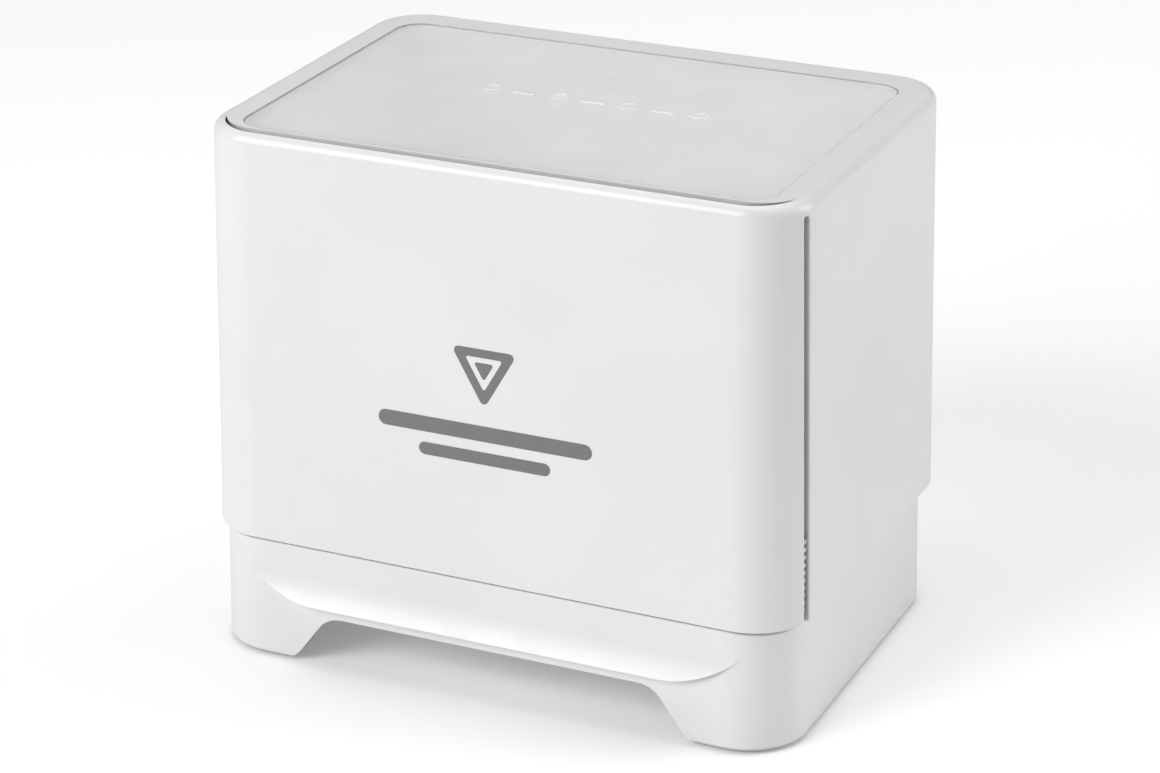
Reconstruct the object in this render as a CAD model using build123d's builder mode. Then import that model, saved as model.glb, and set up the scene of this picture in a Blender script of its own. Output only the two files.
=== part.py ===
from build123d import *
from math import asin, copysign, degrees
import os

# Countertop cheese dispenser: a hopper hood that lifts off a footed base.
# Frame: millimetres, +X to the right seen from the front, +Y to the back, +Z up.
# The origin is on the resting surface, under the middle of the hood.

# Driving dimensions of the outside
HOOD_TOP_WIDTH = 200.0
HOOD_TOP_DEPTH = 139.4
HOOD_TOP_RADIUS = 17.8
TOTAL_HEIGHT = 178.5
SEAM_Z = 42.0
SPREAD = 3.0
HOOD_HEIGHT = TOTAL_HEIGHT - SEAM_Z
SLOPE = SPREAD / HOOD_HEIGHT
DRAFT = 1.2590
RIM_RADIUS = 4.0
WALL = 2.4
TOP_PLATE = 3.0
PAD_DROP = 0.8
SIDE_INSET = 2.6
FRONT_INSET = 1.0
BACK_INSET = 6.3
FOOT_WALL = 3.0
FRONT_FOOT_WALL = 4.0
RUNNING_GAP = 0.3
HOOD_FOOT_ROUND = 0.62
OVERRUN = 1.0

# Levels inside the base
ARCH_Z = 18.0
GATE_Z = 20.0
GATE_THICK = 2.7
DECK_Z = 23.0
DECK_THICK = 3.0
DECK_GAP = 1.1
LINER_Z = 26.3
LINER_TOP = TOTAL_HEIGHT - TOP_PLATE

# Side slits and the ears that ride in them
SLIT_Y = -57.35
SLIT_WIDTH = 1.9
SLIT_TOP = 174.0
SLIT_ROUND = 0.6
SLIT_CLEARANCE = 0.3
EAR_THICK = 1.5
EAR_Z = 44.5
TOOTH_PITCH = 2.6
TOOTH_COUNT = 10
TOOTH_DEPTH = 1.6
EAR_HEIGHT = TOOTH_PITCH * TOOTH_COUNT
EAR_TIP_X = 101.0
EAR_FOOT_X = (68.0, 82.0)
EAR_ARM_X = (74.0, 80.0, 83.0)
EAR_FOOT_BACK = -47.5
EAR_FOOT_THICK = 3.0
EAR_RIB_X = 75.5
EAR_RIB_BACK = -49.0
EAR_RIB_TOP = 39.5

# Hopper mouth, lid and liner
MOUTH_HALF_WIDTH = 89.4
MOUTH_FRONT = -63.3
MOUTH_BACK = 56.5
MOUTH_RADIUS = 9.0
LID_THICK = 2.7
LINER_WALL = 2.3
LINER_HALF_WIDTH = 85.86
LINER_FRONT = -59.76
LINER_BACK = 52.96
LINER_RADIUS = 6.0
LINER_DRAFT = 0.4
TAB_LEVEL = 164.5
TAB_THICK = 2.5
TAB_RADIUS = 3.4
SIDE_TAB = (90.8, 5.0, 6.8)
BACK_TAB = (58.5, 6.8, 7.0)
LEVEL_RECESS_X = (80.0, 87.8)
LEVEL_RECESS_Y = (-40.0, 38.0)
LEVEL_RECESS_Z = (96.0, 150.5)

# Crescent gap between the mouth and the front panel
GAP_HALF_WIDTH = 95.6
GAP_FRONT = -67.3
GAP_WIDTH = 2.5
GAP_RADIUS = 14.0
GAP_TAPER = 0.8

# Row of raised shapes on the lid
EMBOSS_X = 3.5
EMBOSS_Y = 4.0
EMBOSS_PITCH = 12.0
EMBOSS_HEIGHT = 0.3
EMBOSS_COUNT = 7
RING_RADIUS = 3.4
RING_HOLE = 2.2
CHIP_RADIUS = 4.6
LID_ROUND = 0.5

# Metering gate
SLOT_LENGTH = 120.0
SLOT_WIDTH = 8.0
SLOT_PITCH = 20.0
SLOT_COUNT = 5
GATE_STROKE = 10.0
GATE_HALF_WIDTH = 70.0
GATE_FRONT = -57.0
GATE_BACK = 58.0
GATE_RADIUS = 3.0
ROD_X = 80.0
ROD_Z = 18.5
ROD_RADIUS = 1.5
FRONT_LUG_Y = 6.0
REAR_LUG_Y = 58.0
LUG_THICK = 3.0
GATE_LUG_Y = 48.0
GATE_LUG_THICK = 4.0
LUG_HALF_WIDTH = 3.5
LUG_BOTTOM = 14.5
SPRING_RADIUS = 2.6
SPRING_WIRE = 0.8
SPRING_PITCH = 4.2
GATE_EAR_X = 75.0
GATE_EAR_WIDTH = 17.0
ROD_CLEARANCE = 0.08
ROD_HEAD = 1.0

# Base skirt, its thumb lip and the arch between its front feet
BASE_RADIUS = 20.2
SPIGOT_TOP = 48.0
SPIGOT_HALF_WIDTH = 99.9
SPIGOT_FRONT = -69.9
SPIGOT_BACK = 66.0
SPIGOT_RADIUS = 17.6
CAVITY_RADIUS = 17.2
BASE_FOOT_ROUND = 1.4
BASE_TOP_ROUND = 1.2
LIP_Z = 22.4
LIP_TOP = 31.5
LIP_REACH = 3.6
LIP_HOLLOW = 0.4
LIP_ROOT = 2.6
LIP_SINK = 0.2
LIP_STRAIGHT_HALF = 60.0
LIP_HALF_WIDTH = 85.0
ARCH_TOP_HALF = 57.0
ARCH_FOOT_HALF = 70.0
ARCH_RADIUS = 10.0
ARCH_FOOT_Z = 0.4

# Rails and finger tab
RAIL_Z = 18.2
RAIL_FRONT = -60.0
RAIL_BACK = 34.0
RAIL_OUTER_X = 76.2
RAIL_LEDGE = 3.7
TAB_HALF_WIDTH = 22.0
TAB_BOTTOM = 11.5
TAB_FLANGE_Z = 18.0
TAB_WALL = 3.0
TAB_DEPTH = 12.0
TAB_RIBS = (13.6, 15.2)
TAB_RIB_HEIGHT = 0.6
TAB_EDGE = 1.2

# Posts in the base corners, and the screws
POSTS = ((-90.5, -60.5), (90.5, -60.5), (-90.5, 54.5), (90.5, 54.5))
POST_RADIUS = 6.5
POST_HOLE = 12.0
NOTCH_HALF_WIDTH = 1.6
NOTCH_DROP = 0.8
PAD_RADIUS = 5.0
PAD_RECESS = 2.2
PAD_ROUND = 0.4
SCREW_RADIUS = 1.2
SCREW_SLACK = 0.2
HEAD_RADIUS = 2.6
HEAD_HEIGHT = 1.8
HEAD_ROUND = 0.7
RECESS_LENGTH = 2.6
RECESS_WIDTH = 0.6
RECESS_DEPTH = 0.9
PILOT_DEPTH = 2.2
RAIL_SCREW_X = 73.3
RAIL_SCREW_YS = (-45.0, 20.0)
TAB_SCREWS = ((-12.0, -49.5), (12.0, -49.5))
LINER_SCREWS = ((-93.3, -30), (93.3, -30), (-93.3, 30), (93.3, 30), (-45, 62), (45, 62))
BOSS_RADIUS = 3.0
BOSS_Z = 167.0
BOSS_HOLE = 7.0
EAR_SCREWS = ((-79.0, -51.5), (-72.0, -51.5), (72.0, -51.5), (79.0, -51.5))

# Follower and its pull bail
FOLLOWER_Z = 28.0
FOLLOWER_THICK = 3.0
WIPER_WIDTH = 3.0
WIPER_GAP = 0.4
WIPER_RADIUS = 5.6
WIPER_ROUND = 0.8
PLATE_RADIUS = 2.6
POCKET_PITCH = (34.0, 74.0)
POCKET_SIZE = (26.0, 6.0)
POCKET_DEPTH = 1.2
BRACKET_X = 28.2
BRACKET_WIDTH = 4.6
BRACKET_RADIUS = 3.6
PIVOT_CLEARANCE = 0.05
BAIL_Z = 35.0
BAIL_HALF_WIDTH = 36.0
BAIL_REACH = 36.0
BAIL_RADIUS = 1.5
BAIL_BEND = 5.0

os.makedirs("parts", exist_ok=True)


def outline(half_width, front, back, radius, z):
    """Rounded rectangle at height z, centred on X, from front to back along Y."""
    with BuildSketch(Plane.XY.offset(z)) as sketch:
        with Locations((0, (front + back) / 2)):
            RectangleRounded(2 * half_width, back - front, radius)
    return sketch.sketch


def block(x_range, y_range, z_range, mode=Mode.PRIVATE):
    """Box between two corners, given as a (low, high) pair for each axis."""
    size = [high - low for low, high in (x_range, y_range, z_range)]
    middle = [(high + low) / 2 for low, high in (x_range, y_range, z_range)]
    return Pos(*middle) * Box(*size, mode=mode)


def slot_rows(first_y, z, depth):
    """Row of cross slots that cheese falls through."""
    with BuildSketch(Plane.XY.offset(z)) as sketch:
        for row in range(SLOT_COUNT):
            with Locations((0, first_y + row * SLOT_PITCH)):
                SlotOverall(SLOT_LENGTH, SLOT_WIDTH)
    return extrude(sketch.sketch, amount=depth, mode=Mode.PRIVATE)


def pan_screw(x, y, head_z, length, point_down=True):
    """Pan-head screw whose head starts at head_z; the shank leaves the head's flat side."""
    up = 1 if point_down else -1
    with BuildPart() as screw:
        with BuildSketch(Plane.XY.offset(head_z)):
            with Locations((x, y)):
                Circle(HEAD_RADIUS)
        extrude(amount=up * HEAD_HEIGHT)
        rounded = screw.edges().group_by(Axis.Z)[-1 if point_down else 0]
        fillet(rounded, HEAD_ROUND)
        with BuildSketch(Plane.XY.offset(head_z)):
            with Locations((x, y)):
                Circle(SCREW_RADIUS)
        extrude(amount=-up * length)
        drive = Plane.XY.offset(head_z + up * HEAD_HEIGHT)
        with BuildSketch(drive):
            with Locations((x, y)):
                Rectangle(RECESS_LENGTH, RECESS_WIDTH)
                Rectangle(RECESS_WIDTH, RECESS_LENGTH)
        extrude(amount=-up * RECESS_DEPTH, mode=Mode.SUBTRACT)
    return screw.part


def save(part, name):
    """Label a finished piece and write it."""
    part.label = name
    export_step(part, f"parts/{name}.step")


# Outlines shared by the hood and the base
hood_half_width = HOOD_TOP_WIDTH / 2 + SPREAD
hood_half_depth = HOOD_TOP_DEPTH / 2 + SPREAD
hood_radius = HOOD_TOP_RADIUS + SPREAD
base_bottom = PAD_DROP
base_top = SEAM_Z - RUNNING_GAP
base_height = base_top - base_bottom
base_spread = base_height * SLOPE
base_half_width = hood_half_width - SIDE_INSET + base_spread
base_front = -(hood_half_depth - FRONT_INSET + base_spread)
base_back = hood_half_depth - BACK_INSET + base_spread



def slit_profile(start_x):
    """Upright slit with a round top, on a plane across X, open at the hood's lower edge."""
    low_y = SLIT_Y - SLIT_WIDTH / 2
    high_y = SLIT_Y + SLIT_WIDTH / 2
    shoulder_z = SLIT_TOP - SLIT_WIDTH / 2
    with BuildSketch(Plane.YZ.offset(start_x)) as sketch:
        with BuildLine():
            Polyline(
                (low_y, shoulder_z),
                (low_y, SEAM_Z - OVERRUN),
                (high_y, SEAM_Z - OVERRUN),
                (high_y, shoulder_z),
            )
            ThreePointArc((high_y, shoulder_z), (SLIT_Y, SLIT_TOP), (low_y, shoulder_z))
        make_face()
    return sketch.sketch


# Hood: one moulding with a rolled rim, a crescent gap behind the panel and two side slits
slit_start = HOOD_TOP_WIDTH / 2 - HOOD_TOP_RADIUS
slit_reach = hood_half_width + OVERRUN - slit_start
gap_outer = outline(GAP_HALF_WIDTH, GAP_FRONT, 0, GAP_RADIUS, LINER_TOP - OVERRUN)
gap_inner = outline(
    GAP_HALF_WIDTH + GAP_TAPER,
    GAP_FRONT + GAP_WIDTH,
    GAP_WIDTH,
    GAP_RADIUS,
    LINER_TOP - OVERRUN,
)
with BuildPart() as hood_shell:
    extrude(
        outline(hood_half_width, -hood_half_depth, hood_half_depth, hood_radius, SEAM_Z),
        amount=HOOD_HEIGHT,
        taper=DRAFT,
    )
    rim_edges = hood_shell.faces().sort_by(Axis.Z)[-1].edges()
    fillet(rim_edges, RIM_RADIUS)
    foot_edges = hood_shell.faces().sort_by(Axis.Z)[0].edges()
    fillet(foot_edges, HOOD_FOOT_ROUND)
    extrude(
        outline(
            hood_half_width - WALL,
            -hood_half_depth + WALL,
            hood_half_depth - WALL,
            hood_radius - WALL,
            SEAM_Z,
        ),
        amount=HOOD_HEIGHT - TOP_PLATE,
        taper=DRAFT,
        mode=Mode.SUBTRACT,
    )
    extrude(
        outline(
            MOUTH_HALF_WIDTH, MOUTH_FRONT, MOUTH_BACK, MOUTH_RADIUS, LINER_TOP - OVERRUN
        ),
        amount=TOP_PLATE + 2 * OVERRUN,
        mode=Mode.SUBTRACT,
    )
    extrude(gap_outer - gap_inner, amount=TOP_PLATE + 2 * OVERRUN, mode=Mode.SUBTRACT)
    for start_x in (slit_start, -slit_start - slit_reach):
        extrude(slit_profile(start_x), amount=slit_reach, mode=Mode.SUBTRACT)
    slit_edges = hood_shell.edges().filter_by(
        lambda edge: edge.length > 100 and abs(edge.center().Y - SLIT_Y) < SLIT_WIDTH
    )
    outer_slit_edges = slit_edges.filter_by(
        lambda edge: abs(edge.center().X) > HOOD_TOP_WIDTH / 2
    )
    fillet(outer_slit_edges, SLIT_ROUND)
    with BuildSketch(Plane.XY.offset(BOSS_Z)):
        with Locations(*LINER_SCREWS):
            Circle(BOSS_RADIUS)
    extrude(amount=LINER_TOP - BOSS_Z)
    with BuildSketch(Plane.XY.offset(BOSS_Z)):
        with Locations(*LINER_SCREWS):
            Circle(SCREW_RADIUS)
    extrude(amount=BOSS_HOLE, mode=Mode.SUBTRACT)
save(hood_shell.part, "hood_shell")

# Hopper liner: open tube that stands on the deck and carries the lid on its top edge
liner_height = LINER_TOP - LINER_Z
with BuildPart() as hopper_liner:
    extrude(
        outline(
            LINER_HALF_WIDTH + LINER_WALL,
            LINER_FRONT - LINER_WALL,
            LINER_BACK + LINER_WALL,
            LINER_RADIUS + LINER_WALL,
            LINER_Z,
        ),
        amount=liner_height,
        taper=-LINER_DRAFT,
    )
    with BuildSketch(Plane.XY.offset(TAB_LEVEL)):
        with Locations(*LINER_SCREWS):
            Circle(TAB_RADIUS)
        for x, y in LINER_SCREWS[:4]:
            with Locations((copysign(SIDE_TAB[0], x), y)):
                Rectangle(*SIDE_TAB[1:])
        for x, y in LINER_SCREWS[4:]:
            with Locations((x, BACK_TAB[0])):
                Rectangle(*BACK_TAB[1:])
    extrude(amount=TAB_THICK)
    extrude(
        outline(LINER_HALF_WIDTH, LINER_FRONT, LINER_BACK, LINER_RADIUS, LINER_Z),
        amount=liner_height,
        taper=-LINER_DRAFT,
        mode=Mode.SUBTRACT,
    )
    with BuildSketch(Plane.XY.offset(TAB_LEVEL - OVERRUN)):
        with Locations(*LINER_SCREWS):
            Circle(SCREW_RADIUS + SLIT_CLEARANCE)
    extrude(amount=TAB_THICK + 2 * OVERRUN, mode=Mode.SUBTRACT)
    slot_half_width = EAR_THICK / 2 + SLIT_CLEARANCE
    for side in (-1, 1):
        ear_slot = block(
            sorted((side * EAR_ARM_X[1], side * GAP_HALF_WIDTH)),
            (SLIT_Y - slot_half_width, SLIT_Y + slot_half_width),
            (LINER_Z - OVERRUN, SLIT_TOP - SLIT_WIDTH),
        )
        add(ear_slot, mode=Mode.SUBTRACT)
        recess_x = sorted(side * x for x in LEVEL_RECESS_X)
        add(block(recess_x, LEVEL_RECESS_Y, LEVEL_RECESS_Z), mode=Mode.SUBTRACT)
save(hopper_liner.part, "hopper_liner")

with BuildPart() as liner_screws:
    for x, y in LINER_SCREWS:
        add(pan_screw(x, y, TAB_LEVEL, BOSS_HOLE + 2, point_down=False))
save(liner_screws.part, "liner_screws")

# Lid: hazy clear plate that drops into the mouth, with a row of raised rings and chips
with BuildPart() as clear_lid:
    extrude(
        outline(
            MOUTH_HALF_WIDTH - RUNNING_GAP,
            MOUTH_FRONT + RUNNING_GAP,
            MOUTH_BACK - RUNNING_GAP,
            MOUTH_RADIUS - RUNNING_GAP,
            LINER_TOP,
        ),
        amount=LID_THICK,
    )
    fillet(clear_lid.faces().sort_by(Axis.Z)[-1].edges(), LID_ROUND)
    with BuildSketch(Plane.XY.offset(LINER_TOP + LID_THICK)):
        for index in range(EMBOSS_COUNT):
            step = index - (EMBOSS_COUNT - 1) / 2
            with Locations((EMBOSS_X + EMBOSS_PITCH * step, EMBOSS_Y)):
                if index % 2:
                    RegularPolygon(CHIP_RADIUS, 3, rotation=90)
                else:
                    Circle(RING_RADIUS)
                    Circle(RING_HOLE, mode=Mode.SUBTRACT)
    extrude(amount=EMBOSS_HEIGHT)
save(clear_lid.part, "clear_lid")

# Follower: a plate that lies on the cheese, a soft wiper edge and two ears in the slits
wiper_half_width = LINER_HALF_WIDTH - WIPER_GAP
wiper_front = LINER_FRONT + WIPER_GAP
wiper_back = LINER_BACK - WIPER_GAP
plate_outline = (
    wiper_half_width - WIPER_WIDTH,
    wiper_front + WIPER_WIDTH,
    wiper_back - WIPER_WIDTH,
    PLATE_RADIUS,
)
plate_top = FOLLOWER_Z + FOLLOWER_THICK
with BuildPart() as follower_plate:
    extrude(outline(*plate_outline, FOLLOWER_Z), amount=FOLLOWER_THICK)
    with BuildSketch(Plane.XY.offset(plate_top)):
        with Locations(*EAR_SCREWS):
            Circle(SCREW_RADIUS)
    extrude(amount=-PILOT_DEPTH - SLIT_CLEARANCE, mode=Mode.SUBTRACT)
    with BuildSketch(Plane.XY.offset(plate_top)):
        with GridLocations(*POCKET_PITCH, 4, 2):
            SlotOverall(*POCKET_SIZE)
    extrude(amount=-POCKET_DEPTH, mode=Mode.SUBTRACT)
save(follower_plate.part, "follower_plate")

with BuildPart() as follower_wiper:
    wiper_outer = outline(
        wiper_half_width, wiper_front, wiper_back, WIPER_RADIUS, FOLLOWER_Z
    )
    extrude(wiper_outer - outline(*plate_outline, FOLLOWER_Z), amount=FOLLOWER_THICK)
    lower_edges = follower_wiper.faces().sort_by(Axis.Z)[0].outer_wire().edges()
    fillet(lower_edges, WIPER_ROUND)
save(follower_wiper.part, "follower_wiper")


def follower_ear(side):
    """Ear with a finger-ridged outer edge; side is 1 for the right one, -1 for the left."""
    front_y = SLIT_Y - EAR_THICK / 2
    back_y = SLIT_Y + EAR_THICK / 2
    root_x = EAR_TIP_X - TOOTH_DEPTH
    low_x, mid_x, high_x = EAR_ARM_X
    arm_z = plate_top + SLIT_CLEARANCE
    foot_top = plate_top + EAR_FOOT_THICK
    foot_x = sorted(side * x for x in EAR_FOOT_X)
    with BuildPart() as ear:
        with BuildSketch(Plane.XZ.offset(-back_y)):
            with BuildLine():
                Polyline(
                    (side * low_x, arm_z),
                    (side * high_x, arm_z),
                    (side * high_x, EAR_Z),
                    (side * root_x, EAR_Z),
                    (side * root_x, EAR_Z + EAR_HEIGHT),
                    (side * mid_x, EAR_Z + EAR_HEIGHT),
                    (side * low_x, EAR_Z),
                    close=True,
                )
            make_face()
            for tooth in range(TOOTH_COUNT):
                tooth_z = EAR_Z + (tooth + 0.5) * TOOTH_PITCH
                with Locations((side * (EAR_TIP_X - TOOTH_DEPTH / 2), tooth_z)):
                    Rectangle(TOOTH_DEPTH, TOOTH_PITCH / 2)
        extrude(amount=EAR_THICK)
        add(block(foot_x, (back_y - 0.1, EAR_FOOT_BACK), (plate_top, foot_top)))
        with BuildSketch(Plane.YZ.offset(side * EAR_RIB_X - 0.5)):
            with BuildLine():
                Polyline(
                    (back_y, foot_top),
                    (EAR_RIB_BACK, foot_top),
                    (back_y, EAR_RIB_TOP),
                    close=True,
                )
            make_face()
        extrude(amount=1)
        with BuildSketch(Plane.XY.offset(plate_top)):
            with Locations(*[spot for spot in EAR_SCREWS if spot[0] * side > 0]):
                Circle(SCREW_RADIUS)
        extrude(amount=EAR_FOOT_THICK, mode=Mode.SUBTRACT)
    return ear.part


save(follower_ear(1), "follower_ear_right")
save(follower_ear(-1), "follower_ear_left")

with BuildPart() as ear_screws:
    for x, y in EAR_SCREWS:
        add(pan_screw(x, y, plate_top + EAR_FOOT_THICK, EAR_FOOT_THICK + PILOT_DEPTH))
save(ear_screws.part, "ear_screws")

with BuildPart() as bail_brackets:
    for side in (-1, 1):
        with BuildSketch(Plane.YZ.offset(side * BRACKET_X - BRACKET_WIDTH / 2)):
            with BuildLine():
                Polyline(
                    (-BRACKET_RADIUS, BAIL_Z),
                    (-BRACKET_RADIUS, plate_top),
                    (BRACKET_RADIUS, plate_top),
                    (BRACKET_RADIUS, BAIL_Z),
                )
                ThreePointArc(
                    (BRACKET_RADIUS, BAIL_Z),
                    (0, BAIL_Z + BRACKET_RADIUS),
                    (-BRACKET_RADIUS, BAIL_Z),
                )
            make_face()
            with Locations((0, BAIL_Z)):
                Circle(BAIL_RADIUS + PIVOT_CLEARANCE, mode=Mode.SUBTRACT)
        extrude(amount=BRACKET_WIDTH)
save(bail_brackets.part, "bail_brackets")

pivot_end_x = BRACKET_X - BRACKET_WIDTH / 2 - 0.9
with BuildPart() as pull_bail:
    with BuildLine() as bail_path:
        FilletPolyline(
            (pivot_end_x, 0, BAIL_Z),
            (BAIL_HALF_WIDTH, 0, BAIL_Z),
            (BAIL_HALF_WIDTH, BAIL_REACH, BAIL_Z),
            (-BAIL_HALF_WIDTH, BAIL_REACH, BAIL_Z),
            (-BAIL_HALF_WIDTH, 0, BAIL_Z),
            (-pivot_end_x, 0, BAIL_Z),
            radius=BAIL_BEND,
        )
    with BuildSketch(Plane(origin=bail_path.line @ 0, z_dir=bail_path.line % 0)):
        Circle(BAIL_RADIUS)
    sweep(path=bail_path.line)
save(pull_bail.part, "pull_bail")

# Base: footed skirt with a front arch and a thumb lip over it
cavity_front = base_front + FRONT_FOOT_WALL
cavity_half_width = base_half_width - FOOT_WALL
cavity_back = base_back - FOOT_WALL
lip_low_y = base_front + (LIP_Z - base_bottom) * SLOPE - LIP_REACH
lip_high_y = base_front + (LIP_TOP - base_bottom) * SLOPE + LIP_SINK
lip_end = LIP_HALF_WIDTH - LIP_STRAIGHT_HALF
lip_rise = LIP_TOP - LIP_Z
lip_radius = (lip_end**2 + lip_rise**2) / (2 * lip_rise)
lip_angle = degrees(asin(lip_end / lip_radius))
with BuildPart() as thumb_lip:
    with BuildSketch(Plane.YZ.offset(-LIP_HALF_WIDTH)):
        with BuildLine():
            Polyline(
                (lip_high_y, LIP_TOP),
                (lip_high_y + LIP_ROOT, LIP_TOP),
                (lip_high_y + LIP_ROOT, LIP_Z),
                (lip_low_y, LIP_Z),
            )
            ThreePointArc(
                (lip_low_y, LIP_Z),
                ((lip_low_y + lip_high_y) / 2 + LIP_HOLLOW, (LIP_Z + LIP_TOP) / 2),
                (lip_high_y, LIP_TOP),
            )
        make_face()
    extrude(amount=2 * LIP_HALF_WIDTH)
    with BuildSketch(Plane.XZ.offset(-lip_low_y)):
        with BuildLine():
            Line((-LIP_STRAIGHT_HALF, LIP_Z), (LIP_STRAIGHT_HALF, LIP_Z))
            CenterArc((LIP_STRAIGHT_HALF, LIP_Z + lip_radius), lip_radius, 270, lip_angle)
            Line((LIP_HALF_WIDTH, LIP_TOP), (-LIP_HALF_WIDTH, LIP_TOP))
            CenterArc((-LIP_STRAIGHT_HALF, LIP_Z + lip_radius), lip_radius, 270, -lip_angle)
        make_face()
    extrude(amount=2 * (LIP_REACH + LIP_ROOT), both=True, mode=Mode.INTERSECT)

with BuildPart() as base_skirt:
    extrude(
        outline(base_half_width, base_front, base_back, BASE_RADIUS, base_bottom),
        amount=base_height,
        taper=DRAFT,
    )
    fillet(base_skirt.faces().sort_by(Axis.Z)[0].edges(), BASE_FOOT_ROUND)
    fillet(base_skirt.faces().sort_by(Axis.Z)[-1].edges(), BASE_TOP_ROUND)
    extrude(
        outline(
            SPIGOT_HALF_WIDTH, SPIGOT_FRONT, SPIGOT_BACK, SPIGOT_RADIUS, base_top - OVERRUN
        ),
        amount=SPIGOT_TOP - base_top + OVERRUN,
    )
    add(thumb_lip.part)
    extrude(
        outline(
            cavity_half_width,
            cavity_front,
            cavity_back,
            CAVITY_RADIUS,
            base_bottom - OVERRUN,
        ),
        amount=SPIGOT_TOP + 2 * OVERRUN,
        taper=DRAFT,
        mode=Mode.SUBTRACT,
    )
    with BuildSketch(Plane.XZ.offset(-base_front)) as arch:
        with BuildLine():
            Polyline(
                (-ARCH_TOP_HALF, ARCH_Z),
                (ARCH_TOP_HALF, ARCH_Z),
                (ARCH_FOOT_HALF, ARCH_FOOT_Z),
                (2 * ARCH_FOOT_HALF, ARCH_FOOT_Z),
                (2 * ARCH_FOOT_HALF, -OVERRUN),
                (-2 * ARCH_FOOT_HALF, -OVERRUN),
                (-2 * ARCH_FOOT_HALF, ARCH_FOOT_Z),
                (-ARCH_FOOT_HALF, ARCH_FOOT_Z),
                close=True,
            )
        make_face()
        arch_top = arch.vertices().group_by(Axis.Y)[-1]
        foot_corners = arch.vertices().group_by(Axis.Y)[1].sort_by(Axis.X)[1:-1]
        fillet(arch_top + foot_corners, ARCH_RADIUS)
    extrude(amount=2 * FRONT_FOOT_WALL, both=True, mode=Mode.SUBTRACT)
    with BuildSketch(Plane.XY.offset(base_bottom)):
        with Locations(*POSTS):
            Circle(POST_RADIUS)
    extrude(amount=DECK_Z - base_bottom)
    with BuildSketch(Plane.XY.offset(base_bottom)):
        with Locations(*POSTS):
            Circle(PAD_RADIUS + PIVOT_CLEARANCE)
    extrude(amount=PAD_RECESS, mode=Mode.SUBTRACT)
    with BuildSketch(Plane.XY.offset(DECK_Z)):
        with Locations(*POSTS):
            Circle(SCREW_RADIUS)
    extrude(amount=-POST_HOLE, mode=Mode.SUBTRACT)
    for side in (-1, 1):
        ear_notch = block(
            sorted((side * EAR_ARM_X[1], side * hood_half_width)),
            (SLIT_Y - NOTCH_HALF_WIDTH, SLIT_Y + NOTCH_HALF_WIDTH),
            (EAR_Z - NOTCH_DROP, SPIGOT_TOP + OVERRUN),
        )
        add(ear_notch, mode=Mode.SUBTRACT)
save(base_skirt.part, "base_skirt")

with BuildPart() as foot_pads:
    with BuildSketch(Plane.XY):
        with Locations(*POSTS):
            Circle(PAD_RADIUS)
    extrude(amount=PAD_DROP + PAD_RECESS)
    fillet(foot_pads.edges().group_by(Axis.Z)[0], PAD_ROUND)
save(foot_pads.part, "foot_pads")

# Deck: the slotted floor of the hopper, with the lugs that hold the spring rods
deck_slot_y = -SLOT_PITCH * (SLOT_COUNT - 1) / 2
with BuildPart() as chassis_deck:
    extrude(
        outline(
            cavity_half_width - DECK_GAP,
            cavity_front + DECK_GAP,
            cavity_back - DECK_GAP,
            CAVITY_RADIUS - DECK_GAP,
            DECK_Z,
        ),
        amount=DECK_THICK,
    )
    deck_slots = slot_rows(deck_slot_y, DECK_Z - OVERRUN, DECK_THICK + 2 * OVERRUN)
    add(deck_slots, mode=Mode.SUBTRACT)
    with BuildSketch(Plane.XY.offset(DECK_Z - OVERRUN)):
        with Locations(*POSTS):
            Circle(SCREW_RADIUS + SCREW_SLACK)
    extrude(amount=DECK_THICK + 2 * OVERRUN, mode=Mode.SUBTRACT)
    with BuildSketch(Plane.XY.offset(DECK_Z)):
        for x in (-RAIL_SCREW_X, RAIL_SCREW_X):
            with Locations(*[(x, y) for y in RAIL_SCREW_YS]):
                Circle(SCREW_RADIUS)
    extrude(amount=PILOT_DEPTH + SCREW_SLACK, mode=Mode.SUBTRACT)
    for side in (-1, 1):
        for lug_y in (FRONT_LUG_Y, REAR_LUG_Y):
            with BuildSketch(Plane.XZ.offset(-lug_y - LUG_THICK)):
                with Locations((side * ROD_X, (LUG_BOTTOM + DECK_Z + OVERRUN) / 2)):
                    Rectangle(2 * LUG_HALF_WIDTH, DECK_Z + OVERRUN - LUG_BOTTOM)
                with Locations((side * ROD_X, ROD_Z)):
                    Circle(ROD_RADIUS, mode=Mode.SUBTRACT)
            extrude(amount=LUG_THICK)
save(chassis_deck.part, "chassis_deck")

with BuildPart() as deck_screws:
    for x, y in POSTS:
        add(pan_screw(x, y, DECK_Z + DECK_THICK, POST_HOLE + OVERRUN))
save(deck_screws.part, "deck_screws")


def slide_rail(side):
    """L-section rail under the deck that carries one edge of the gate."""
    inner_x = side * (GATE_HALF_WIDTH + RUNNING_GAP)
    ledge_x = side * (GATE_HALF_WIDTH - RAIL_LEDGE)
    outer_x = side * RAIL_OUTER_X
    ledge_top = GATE_Z - RUNNING_GAP
    with BuildPart() as rail:
        with BuildSketch(Plane.XZ.offset(-RAIL_BACK)):
            with BuildLine():
                Polyline(
                    (inner_x, DECK_Z),
                    (inner_x, ledge_top),
                    (ledge_x, ledge_top),
                    (ledge_x, RAIL_Z),
                    (outer_x, RAIL_Z),
                    (outer_x, DECK_Z),
                    close=True,
                )
            make_face()
        extrude(amount=RAIL_BACK - RAIL_FRONT)
        with BuildSketch(Plane.XY.offset(RAIL_Z)):
            with Locations(*[(side * RAIL_SCREW_X, y) for y in RAIL_SCREW_YS]):
                Circle(SCREW_RADIUS + SCREW_SLACK)
        extrude(amount=DECK_Z - RAIL_Z, mode=Mode.SUBTRACT)
    return rail.part


save(slide_rail(1), "slide_rail_right")
save(slide_rail(-1), "slide_rail_left")

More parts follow.
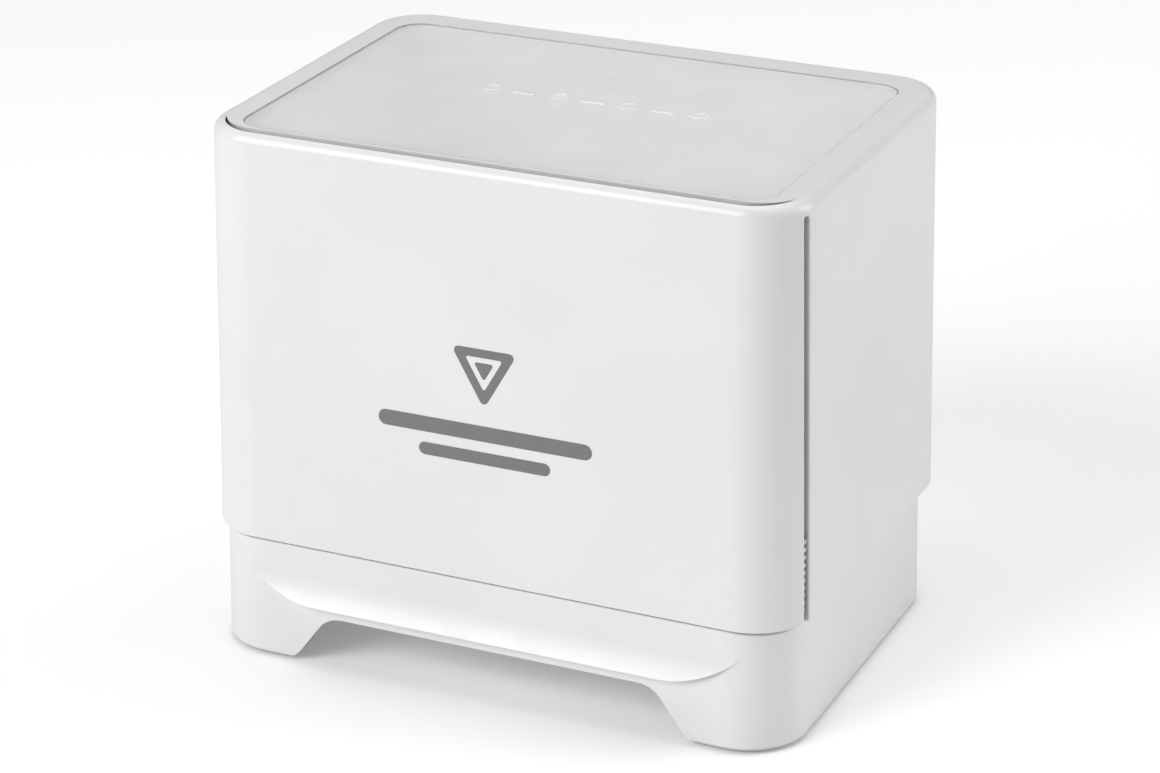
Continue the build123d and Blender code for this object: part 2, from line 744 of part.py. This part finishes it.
with BuildPart() as rail_screws:
    for x in (-RAIL_SCREW_X, RAIL_SCREW_X):
        for y in RAIL_SCREW_YS:
            add(pan_screw(x, y, RAIL_Z, DECK_Z - RAIL_Z + PILOT_DEPTH, point_down=False))
save(rail_screws.part, "rail_screws")

# Gate: sliding plate whose slots meet the deck's slots at the end of its stroke
with BuildPart() as gate_plate:
    extrude(
        outline(GATE_HALF_WIDTH, GATE_FRONT, GATE_BACK, GATE_RADIUS, GATE_Z),
        amount=GATE_THICK,
    )
    gate_slots = slot_rows(
        deck_slot_y + GATE_STROKE, GATE_Z - OVERRUN, GATE_THICK + 2 * OVERRUN
    )
    add(gate_slots, mode=Mode.SUBTRACT)
    for side in (-1, 1):
        with BuildSketch(Plane.XY.offset(GATE_Z)):
            with Locations((side * GATE_EAR_X, GATE_LUG_Y + GATE_LUG_THICK / 2)):
                Rectangle(GATE_EAR_WIDTH, GATE_LUG_THICK)
        extrude(amount=GATE_THICK)
        with BuildSketch(Plane.XZ.offset(-GATE_LUG_Y - GATE_LUG_THICK)):
            with Locations((side * ROD_X, (LUG_BOTTOM + GATE_Z + OVERRUN) / 2)):
                Rectangle(2 * LUG_HALF_WIDTH, GATE_Z + OVERRUN - LUG_BOTTOM)
        extrude(amount=GATE_LUG_THICK)
        with BuildSketch(Plane.XZ.offset(-GATE_LUG_Y - GATE_LUG_THICK)):
            with Locations((side * ROD_X, ROD_Z)):
                Circle(ROD_RADIUS + ROD_CLEARANCE)
        extrude(amount=GATE_LUG_THICK, mode=Mode.SUBTRACT)
    with BuildSketch(Plane.XY.offset(GATE_Z)):
        with Locations(*TAB_SCREWS):
            Circle(SCREW_RADIUS)
    extrude(amount=PILOT_DEPTH, mode=Mode.SUBTRACT)
save(gate_plate.part, "gate_plate")

with BuildPart() as finger_tab:
    with BuildSketch(Plane.YZ.offset(-TAB_HALF_WIDTH)):
        with BuildLine():
            Polyline(
                (GATE_FRONT, GATE_Z),
                (GATE_FRONT, TAB_BOTTOM),
                (GATE_FRONT + TAB_WALL, TAB_BOTTOM),
                (GATE_FRONT + TAB_WALL, TAB_FLANGE_Z),
                (GATE_FRONT + TAB_DEPTH, TAB_FLANGE_Z),
                (GATE_FRONT + TAB_DEPTH, GATE_Z),
                close=True,
            )
        make_face()
    extrude(amount=2 * TAB_HALF_WIDTH)
    fillet(finger_tab.edges().group_by(Axis.Z)[0].filter_by(Axis.X), TAB_EDGE)
    with BuildSketch(Plane.XZ.offset(-GATE_FRONT - TAB_WALL)):
        for rib_z in TAB_RIBS:
            with Locations((0, rib_z)):
                SlotOverall(2 * TAB_HALF_WIDTH - 6, 0.8)
    extrude(amount=-TAB_RIB_HEIGHT)
    with BuildSketch(Plane.XY.offset(TAB_FLANGE_Z)):
        with Locations(*TAB_SCREWS):
            Circle(SCREW_RADIUS + SCREW_SLACK)
    extrude(amount=GATE_Z - TAB_FLANGE_Z, mode=Mode.SUBTRACT)
save(finger_tab.part, "finger_tab")

with BuildPart() as tab_screws:
    for x, y in TAB_SCREWS:
        add(pan_screw(x, y, TAB_FLANGE_Z, 4, point_down=False))
save(tab_screws.part, "tab_screws")


def spring_rod(side):
    """Guide rod from the front lug to the rear lug, with a head behind the rear lug."""
    with BuildPart() as rod:
        with BuildSketch(Plane.XZ.offset(-REAR_LUG_Y - LUG_THICK)):
            with Locations((side * ROD_X, ROD_Z)):
                Circle(ROD_RADIUS)
        extrude(amount=REAR_LUG_Y + LUG_THICK - FRONT_LUG_Y + ROD_HEAD)
        with BuildSketch(Plane.XZ.offset(-REAR_LUG_Y - LUG_THICK)):
            with Locations((side * ROD_X, ROD_Z)):
                Circle(ROD_RADIUS + ROD_HEAD)
        extrude(amount=-ROD_HEAD)
    return rod.part


def return_spring(side):
    """Compression spring on the rod, from the front lug to the gate's lug."""
    start_y = FRONT_LUG_Y + LUG_THICK + SPRING_WIRE / 2
    length = GATE_LUG_Y - SPRING_WIRE / 2 - start_y
    with BuildPart() as spring:
        with BuildLine() as coil:
            Helix(
                SPRING_PITCH,
                length,
                SPRING_RADIUS,
                center=(side * ROD_X, start_y, ROD_Z),
                direction=(0, 1, 0),
            )
        with BuildSketch(Plane(origin=coil.line @ 0, z_dir=coil.line % 0)):
            Circle(SPRING_WIRE / 2)
        sweep(path=coil.line, is_frenet=True)
    return spring.part


for side_name, side in (("right", 1), ("left", -1)):
    save(spring_rod(side), f"spring_rod_{side_name}")
    save(return_spring(side), f"return_spring_{side_name}")
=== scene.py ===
from math import cos, radians, sin, tan

import bmesh
import bpy
from mathutils import Matrix, Vector


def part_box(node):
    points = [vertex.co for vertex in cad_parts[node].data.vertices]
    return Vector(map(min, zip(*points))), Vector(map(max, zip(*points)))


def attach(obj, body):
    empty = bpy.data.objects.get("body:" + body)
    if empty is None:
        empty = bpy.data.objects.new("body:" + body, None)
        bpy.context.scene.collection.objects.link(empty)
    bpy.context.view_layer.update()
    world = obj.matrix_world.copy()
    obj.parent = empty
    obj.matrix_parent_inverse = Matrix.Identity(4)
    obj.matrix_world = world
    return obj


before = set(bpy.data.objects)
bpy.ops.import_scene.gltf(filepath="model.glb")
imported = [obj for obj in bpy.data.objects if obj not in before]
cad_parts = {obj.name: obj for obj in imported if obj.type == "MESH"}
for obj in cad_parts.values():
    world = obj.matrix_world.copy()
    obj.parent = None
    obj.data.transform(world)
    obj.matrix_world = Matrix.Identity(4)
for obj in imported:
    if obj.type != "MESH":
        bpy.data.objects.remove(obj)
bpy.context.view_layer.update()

MM = 0.001

# Camera: where it looks from, in degrees and metres
CAMERA_AZIMUTH = 24.45
CAMERA_ELEVATION = 22.87
CAMERA_ROLL = -0.18
CAMERA_DISTANCE = 1.140
CAMERA_AIM = Vector((0, 0, 0.081))
CAMERA_LENS = 108.3
SENSOR_WIDTH = 36.0

# Floor and soft studio light: each softbox has a place, a width and a power in watts
FLOOR_SIZE = 30.0
FLOOR_GLOW = 0.22
WORLD_STRENGTH = 0.15
SOFTBOXES = {
    "key_softbox": ((-1.3, -2.2, 1.5), 1.6, 51.0),
    "side_softbox": ((2.4, 1.3, 1.1), 1.4, 31.0),
    "top_softbox": ((0.0, 0.3, 2.2), 1.8, 20.0),
}
LIGHT_AIM = Vector((0, 0, 0.08))

# Painted shade in joints and slots: how near another wall has to be, and how much colour the
# deepest keep
PAINTED_SHADE_REACH = 3.5 * MM
PAINTED_SHADE_DEEP = 0.3
PAINTED_SHADE_OPEN = 0.85
PAINTED_SHADE_KEPT = 0.35

# Front panel of the hood: it leans back by the mould's draft
HOOD_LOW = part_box("hood_shell")[0]
PANEL_DRAFT = radians(1.259)

# Printed mark on the front panel: each bar has a height, a length and a width
INK_THICKNESS = 0.05 * MM
CHIP_HEIGHT = 114 * MM
CHIP_RADIUS = 13.0 * MM
CHIP_LINE = 2.8 * MM
CHIP_ROUND = 3.0 * MM
CHIP_INNER_ROUND = 1.2 * MM
SEED_RADIUS = 4.0 * MM
SEED_ROUND = 1.2 * MM
BARS = (
    (92.6 * MM, 73 * MM, 5.2 * MM),
    (84.4 * MM, 45 * MM, 4.2 * MM),
)
BAR_ROUND_SHARE = 0.49
ROUND_STEPS = 8


def srgb(code):
    """Linear colour of an sRGB hex code such as F4F4F2."""
    parts = [int(code[i : i + 2], 16) / 255 for i in (0, 2, 4)]
    linear = [c / 12.92 if c <= 0.04045 else ((c + 0.055) / 1.055) ** 2.4 for c in parts]
    return (*linear, 1.0)


def per_mm(size):
    """Texture scale whose features are about this many millimetres across."""
    return 1000.0 / size


def add(tree, kind, inputs=None, **settings):
    """Add a node; an input given as another node's output is linked, any other is set."""
    node = tree.nodes.new(kind)
    for name, value in settings.items():
        setattr(node, name, value)
    for name, value in (inputs or {}).items():
        if isinstance(value, bpy.types.NodeSocket):
            tree.links.new(value, node.inputs[name])
        else:
            node.inputs[name].default_value = value
    return node


def start_material(name):
    """New material with its node tree emptied down to the output."""
    material = bpy.data.materials.new(name)
    material.use_nodes = True
    tree = material.node_tree
    tree.nodes.clear()
    place = add(tree, "ShaderNodeTexCoord").outputs["Object"]
    return material, tree, place


def finish_material(tree, shader):
    """Link the shader to the material's output."""
    add(tree, "ShaderNodeOutputMaterial", {"Surface": shader})


def noise(tree, place, size, detail=2.0, distortion=0.0):
    """Noise factor with features of this size in millimetres."""
    settings = {"Vector": place, "Scale": per_mm(size), "Detail": detail, "Distortion": distortion}
    return add(tree, "ShaderNodeTexNoise", settings).outputs["Fac"]


def spread(tree, factor, low, high):
    """Map a noise factor onto a range of plain numbers."""
    settings = {"Value": factor, "From Min": 0.3, "From Max": 0.7, "To Min": low, "To Max": high}
    return add(tree, "ShaderNodeMapRange", settings).outputs["Result"]


def tint(tree, factor, dark, light):
    """Colour between two hex codes by a noise factor."""
    ramp = add(tree, "ShaderNodeValToRGB", {"Fac": factor})
    ramp.color_ramp.elements[0].position = 0.3
    ramp.color_ramp.elements[0].color = srgb(dark)
    ramp.color_ramp.elements[1].position = 0.7
    ramp.color_ramp.elements[1].color = srgb(light)
    return ramp.outputs["Color"]


def bumped(tree, height, depth, strength, normal=None):
    """Bump of this depth in millimetres, on top of an earlier one if given."""
    inputs = {"Height": height, "Distance": depth * MM, "Strength": strength}
    if normal:
        inputs["Normal"] = normal
    return add(tree, "ShaderNodeBump", inputs).outputs["Normal"]


def painted_crevice_shade(tree, colour):
    """Painted shade: colour darkened by ambient occlusion in narrow joints and slots, beyond the
    shade the lamps alone give.
    """
    shade = add(tree, "ShaderNodeAmbientOcclusion", {"Distance": PAINTED_SHADE_REACH}, samples=8)
    depth = {
        "Value": shade.outputs["AO"],
        "From Min": PAINTED_SHADE_DEEP,
        "From Max": PAINTED_SHADE_OPEN,
        "To Min": PAINTED_SHADE_KEPT,
    }
    kept = add(tree, "ShaderNodeMapRange", depth).outputs["Result"]
    mixed = add(tree, "ShaderNodeVectorMath", {0: colour, 1: kept}, operation="MULTIPLY")
    return mixed.outputs["Vector"]


def satin_abs():
    """White ABS from a finely blasted mould: bright, slightly warm, soft broad highlights,
    very fine grain (0.1 mm, drawn at 0.7 mm so that it shows) and faint flow marks."""
    material, tree, place = start_material("satin_abs")
    flow = noise(tree, place, 60, 3, 0.6)
    grain = noise(tree, place, 0.7, 3)
    ripple = noise(tree, place, 14, 1)
    rough = spread(tree, noise(tree, place, 9, 4), 0.30, 0.38)
    normal = bumped(tree, grain, 0.02, 0.35, bumped(tree, ripple, 0.05, 0.12))
    shader = add(
        tree,
        "ShaderNodeBsdfPrincipled",
        {
            # Base colour with painted shade in narrow joints and slots
            "Base Color": painted_crevice_shade(tree, tint(tree, flow, "EFEFEE", "F3F3F2")),
            "Roughness": rough,
            "Normal": normal,
            "IOR": 1.53,
            "Coat Weight": 0.15,
            "Coat Roughness": 0.2,
        },
    )
    finish_material(tree, shader.outputs["BSDF"])
    return material


def matt_polypropylene():
    """White polypropylene from a spark-eroded mould: waxy and matt, with a pebbled grain
    about 0.8 mm across and cloudy flow marks."""
    material, tree, place = start_material("matt_polypropylene")
    cloud = noise(tree, place, 35, 3, 0.8)
    pebble = add(
        tree,
        "ShaderNodeTexVoronoi",
        {"Vector": place, "Scale": per_mm(0.8), "Randomness": 0.9},
        feature="SMOOTH_F1",
    ).outputs["Distance"]
    shader = add(
        tree,
        "ShaderNodeBsdfPrincipled",
        {
            "Base Color": tint(tree, cloud, "EAEBEB", "F0F0F0"),
            "Roughness": spread(tree, noise(tree, place, 3, 3), 0.48, 0.6),
            "Normal": bumped(tree, pebble, 0.03, 0.3),
            "IOR": 1.49,
            "Subsurface Weight": 0.05,
        },
    )
    finish_material(tree, shader.outputs["BSDF"])
    return material


def deck_abs():
    """White ABS deck, plainer than the casing: matt, with long faint drag marks from ejection."""
    material, tree, place = start_material("deck_abs")
    stretched = add(
        tree, "ShaderNodeMapping", {"Vector": place, "Scale": (1.0, 0.12, 1.0)}
    ).outputs["Vector"]
    drag = noise(tree, stretched, 1.4, 4)
    shader = add(
        tree,
        "ShaderNodeBsdfPrincipled",
        {
            "Base Color": tint(tree, noise(tree, place, 25, 3), "E8E8E6", "EEEEEC"),
            "Roughness": spread(tree, drag, 0.42, 0.55),
            "Normal": bumped(tree, drag, 0.02, 0.3),
            "IOR": 1.53,
        },
    )
    finish_material(tree, shader.outputs["BSDF"])
    return material


def acetal():
    """Natural acetal for sliding parts: dense, milky, slightly waxy shine, with fine rub lines
    along the stroke."""
    material, tree, place = start_material("acetal")
    stroke = add(
        tree, "ShaderNodeMapping", {"Vector": place, "Scale": (1.0, 0.06, 1.0)}
    ).outputs["Vector"]
    rub = noise(tree, stroke, 0.9, 5)
    shader = add(
        tree,
        "ShaderNodeBsdfPrincipled",
        {
            "Base Color": tint(tree, noise(tree, place, 18, 3), "E6E6E1", "EDEDE9"),
            "Roughness": spread(tree, rub, 0.26, 0.42),
            "Normal": bumped(tree, rub, 0.01, 0.3),
            "IOR": 1.48,
            "Subsurface Weight": 0.08,
        },
    )
    finish_material(tree, shader.outputs["BSDF"])
    return material


def clear_styrene():
    """Clear styrene gone hazy: a milky bloom through it, fine handling scratches and a slow
    waviness from cooling. Lamps reach what is behind it."""
    material, tree, place = start_material("clear_styrene")
    haze = noise(tree, place, 22, 3, 0.5)
    wave = noise(tree, place, 30, 1)
    scratch_place = add(
        tree,
        "ShaderNodeMapping",
        {"Vector": place, "Rotation": (0, 0, radians(24)), "Scale": (1.0, 0.03, 1.0)},
    ).outputs["Vector"]
    scratch = noise(tree, scratch_place, 0.8, 5)
    normal = bumped(tree, scratch, 0.004, 0.2, bumped(tree, wave, 0.03, 0.1))
    glass = add(
        tree,
        "ShaderNodeBsdfPrincipled",
        {
            "Base Color": tint(tree, haze, "F7F7F7", "FBFBFB"),
            "Roughness": spread(tree, haze, 0.16, 0.24),
            "Normal": normal,
            "Transmission Weight": 0.5,
            "IOR": 1.49,
        },
    )
    open_to_lamps = add(tree, "ShaderNodeBsdfTransparent", {"Color": srgb("F1F3F3")})
    lamp_ray = add(tree, "ShaderNodeLightPath").outputs["Is Shadow Ray"]
    mixed = add(tree, "ShaderNodeMixShader", {"Fac": lamp_ray})
    tree.links.new(glass.outputs["BSDF"], mixed.inputs[1])
    tree.links.new(open_to_lamps.outputs["BSDF"], mixed.inputs[2])
    finish_material(tree, mixed.outputs["Shader"])
    return material


def silicone():
    """Translucent grey silicone: soft and even, barely shiny, with a dusty bloom."""
    material, tree, place = start_material("silicone")
    bloom = noise(tree, place, 4, 4)
    shader = add(
        tree,
        "ShaderNodeBsdfPrincipled",
        {
            "Base Color": tint(tree, bloom, "D2D5D6", "DDDFDF"),
            "Roughness": spread(tree, bloom, 0.42, 0.6),
            "Normal": bumped(tree, noise(tree, place, 1.2, 2), 0.02, 0.2),
            "IOR": 1.41,
            "Subsurface Weight": 0.15,
            "Sheen Weight": 0.1,
        },
    )
    finish_material(tree, shader.outputs["BSDF"])
    return material


def pad_rubber():
    """Grey moulded rubber: matt and slightly dusty, with a stippled grip of 0.6 mm."""
    material, tree, place = start_material("pad_rubber")
    stipple = add(
        tree, "ShaderNodeTexVoronoi", {"Vector": place, "Scale": per_mm(0.6)}
    ).outputs["Distance"]
    shader = add(
        tree,
        "ShaderNodeBsdfPrincipled",
        {
            "Base Color": tint(tree, noise(tree, place, 2.5, 4), "5A5A5C", "6E6E70"),
            "Roughness": spread(tree, noise(tree, place, 1.5, 3), 0.7, 0.9),
            "Normal": bumped(tree, stipple, 0.06, 0.5),
            "IOR": 1.52,
        },
    )
    finish_material(tree, shader.outputs["BSDF"])
    return material


def zinc_plate():
    """Bright zinc-plated steel screws: pale blue-grey metal with clouded plating."""
    material, tree, place = start_material("zinc_plate")
    cloud = noise(tree, place, 1.1, 4, 0.4)
    shader = add(
        tree,
        "ShaderNodeBsdfPrincipled",
        {
            "Base Color": tint(tree, cloud, "AEB2B8", "CDD1D4"),
            "Metallic": 1.0,
            "Roughness": spread(tree, cloud, 0.24, 0.42),
            "Normal": bumped(tree, noise(tree, place, 0.35, 3), 0.01, 0.4),
        },
    )
    finish_material(tree, shader.outputs["BSDF"])
    return material


def drawn_stainless():
    """Drawn stainless wire and rod: clean bright metal with fine die lines round it."""
    material, tree, place = start_material("drawn_stainless")
    lines = add(
        tree, "ShaderNodeMapping", {"Vector": place, "Scale": (1.0, 0.05, 1.0)}
    ).outputs["Vector"]
    die = noise(tree, lines, 0.3, 5)
    shader = add(
        tree,
        "ShaderNodeBsdfPrincipled",
        {
            "Base Color": tint(tree, noise(tree, place, 6, 3), "BDBEC0", "D2D3D4"),
            "Metallic": 1.0,
            "Roughness": spread(tree, die, 0.18, 0.34),
            "Normal": bumped(tree, die, 0.006, 0.4),
        },
    )
    finish_material(tree, shader.outputs["BSDF"])
    return material


def pad_ink():
    """Grey pad-printed ink: thin, even and satin, with pinholes too small to see alone."""
    material, tree, place = start_material("pad_ink")
    film = noise(tree, place, 1.0, 5)
    shader = add(
        tree,
        "ShaderNodeBsdfPrincipled",
        {
            "Base Color": tint(tree, film, "7A7A7A", "808080"),
            "Roughness": spread(tree, film, 0.4, 0.55),
            "Normal": bumped(tree, film, 0.01, 0.3),
            "IOR": 1.5,
        },
    )
    finish_material(tree, shader.outputs["BSDF"])
    return material


def plain_floor():
    """Matt pale studio floor with a very faint mottling. Its glow is seen by the camera alone
    and lights nothing."""
    material, tree, place = start_material("plain_floor")
    mottle = noise(tree, place, 400, 2)
    seen = add(tree, "ShaderNodeLightPath").outputs["Is Camera Ray"]
    glow = add(tree, "ShaderNodeMath", {0: seen, 1: FLOOR_GLOW}, operation="MULTIPLY")
    shader = add(
        tree,
        "ShaderNodeBsdfPrincipled",
        {
            "Base Color": tint(tree, mottle, "F9F9F9", "FAFAFA"),
            "Roughness": 0.85,
            "Specular IOR Level": 0.2,
            "Emission Color": srgb("FFFFFF"),
            "Emission Strength": glow.outputs["Value"],
        },
    )
    finish_material(tree, shader.outputs["BSDF"])
    return material


def dress_nodes():
    """Give every CAD node the material of its real finish."""
    finishes = {
        satin_abs(): ("hood_shell", "base_skirt", "finger_tab"),
        matt_polypropylene(): ("hopper_liner", "follower_plate", "bail_brackets"),
        deck_abs(): ("chassis_deck",),
        acetal(): (
            "gate_plate",
            "slide_rail_left",
            "slide_rail_right",
            "follower_ear_left",
            "follower_ear_right",
        ),
        clear_styrene(): ("clear_lid",),
        silicone(): ("follower_wiper",),
        pad_rubber(): ("foot_pads",),
        zinc_plate(): ("rail_screws", "deck_screws", "tab_screws", "liner_screws", "ear_screws"),
        drawn_stainless(): (
            "spring_rod_left",
            "spring_rod_right",
            "return_spring_left",
            "return_spring_right",
            "pull_bail",
        ),
    }
    for material, names in finishes.items():
        for name in names:
            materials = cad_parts[name].data.materials
            materials.clear()
            materials.append(material)


def rounded(mesh, verts, radius):
    """Round the corners of a flat face."""
    bmesh.ops.bevel(
        mesh,
        geom=verts,
        offset=radius,
        segments=ROUND_STEPS,
        profile=0.5,
        affect="VERTICES",
        material=-1,
    )


def flat_triangle(mesh, radius, corner, centre):
    """Rounded triangle with its point down, like a corn chip."""
    place = Matrix.Translation((0, centre, 0)) @ Matrix.Rotation(radians(60), 4, "Z")
    made = bmesh.ops.create_circle(
        mesh, cap_ends=True, segments=3, radius=radius, matrix=place
    )
    rounded(mesh, made["verts"], corner)
    mesh.faces.ensure_lookup_table()
    return mesh.faces[-1]


def triangle_ring(mesh, radius, corner, line, centre):
    """Outline of a rounded triangle, with a line of even width along its sides."""
    outer = flat_triangle(mesh, radius, corner, centre)
    outer_edges = list(outer.edges)
    bmesh.ops.delete(mesh, geom=[outer], context="FACES_ONLY")
    inner = flat_triangle(mesh, radius - 2 * line, CHIP_INNER_ROUND, centre)
    inner_edges = list(inner.edges)
    bmesh.ops.delete(mesh, geom=[inner], context="FACES_ONLY")
    bmesh.ops.bridge_loops(mesh, edges=outer_edges + inner_edges)


def flat_bar(mesh, centre, length, width):
    """Plain bar with round ends."""
    place = Matrix.Translation((0, centre, 0)) @ Matrix.Diagonal((length, width, 1, 1))
    made = bmesh.ops.create_grid(mesh, x_segments=1, y_segments=1, size=0.5, matrix=place)
    rounded(mesh, made["verts"], width * BAR_ROUND_SHARE)


def print_front_mark():
    """Generic inked mark: a corn chip over two plain bars, lying on the front panel."""
    middle = BARS[0][0]
    mesh = bmesh.new()
    triangle_ring(mesh, CHIP_RADIUS, CHIP_ROUND, CHIP_LINE, CHIP_HEIGHT - middle)
    flat_triangle(mesh, SEED_RADIUS, SEED_ROUND, CHIP_HEIGHT - middle)
    for height, length, width in BARS:
        flat_bar(mesh, height - middle, length, width)
    raised = bmesh.ops.extrude_face_region(mesh, geom=mesh.faces[:])["geom"]
    top = [item for item in raised if isinstance(item, bmesh.types.BMVert)]
    bmesh.ops.translate(mesh, vec=(0, 0, INK_THICKNESS), verts=top)
    bmesh.ops.recalc_face_normals(mesh, faces=mesh.faces[:])
    front = HOOD_LOW.y + (middle - HOOD_LOW.z) * tan(PANEL_DRAFT)
    place = Matrix.Translation((0, front, middle))
    turn = Matrix.Rotation(radians(90) - PANEL_DRAFT, 4, "X")
    bmesh.ops.transform(mesh, matrix=place @ turn, verts=mesh.verts[:])
    data = bpy.data.meshes.new("front_mark")
    mesh.to_mesh(data)
    mesh.free()
    mark = bpy.data.objects.new("front_mark", data)
    bpy.context.scene.collection.objects.link(mark)
    data.materials.append(pad_ink())
    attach(mark, "hood")


def aimed(location, target):
    """Rotation that points an object's -Z from location to target."""
    return (target - Vector(location)).to_track_quat("-Z", "Y")


def set_camera():
    """Camera at the viewing angle, with no shift and no depth of field."""
    azimuth = radians(CAMERA_AZIMUTH)
    elevation = radians(CAMERA_ELEVATION)
    back = Vector(
        (sin(azimuth) * cos(elevation), -cos(azimuth) * cos(elevation), sin(elevation))
    )
    data = bpy.data.cameras.new("camera")
    data.lens = CAMERA_LENS
    data.sensor_width = SENSOR_WIDTH
    camera = bpy.data.objects.new("camera", data)
    camera.location = CAMERA_AIM + back * CAMERA_DISTANCE
    turn = aimed(camera.location, CAMERA_AIM).to_matrix().to_4x4()
    roll = Matrix.Rotation(radians(CAMERA_ROLL), 4, "Z")
    camera.rotation_euler = (turn @ roll).to_euler()
    bpy.context.scene.collection.objects.link(camera)
    bpy.context.scene.camera = camera


def lay_floor():
    """Plain pale floor under the feet."""
    mesh = bmesh.new()
    bmesh.ops.create_grid(mesh, x_segments=1, y_segments=1, size=FLOOR_SIZE / 2)
    data = bpy.data.meshes.new("floor")
    mesh.to_mesh(data)
    mesh.free()
    floor = bpy.data.objects.new("floor", data)
    data.materials.append(plain_floor())
    bpy.context.scene.collection.objects.link(floor)


def light_studio():
    """Dim white surround and three softboxes: front left, right and overhead."""
    world = bpy.data.worlds.new("studio")
    world.use_nodes = True
    background = world.node_tree.nodes["Background"]
    background.inputs["Color"].default_value = (1, 1, 1, 1)
    background.inputs["Strength"].default_value = WORLD_STRENGTH
    bpy.context.scene.world = world
    for name, (location, size, power) in SOFTBOXES.items():
        data = bpy.data.lights.new(name, "AREA")
        data.size = size
        data.energy = power
        lamp = bpy.data.objects.new(name, data)
        lamp.location = location
        lamp.rotation_euler = aimed(location, LIGHT_AIM).to_euler()
        bpy.context.scene.collection.objects.link(lamp)
    bpy.context.scene.view_settings.view_transform = "Standard"


set_camera()
lay_floor()
light_studio()
dress_nodes()
print_front_mark()
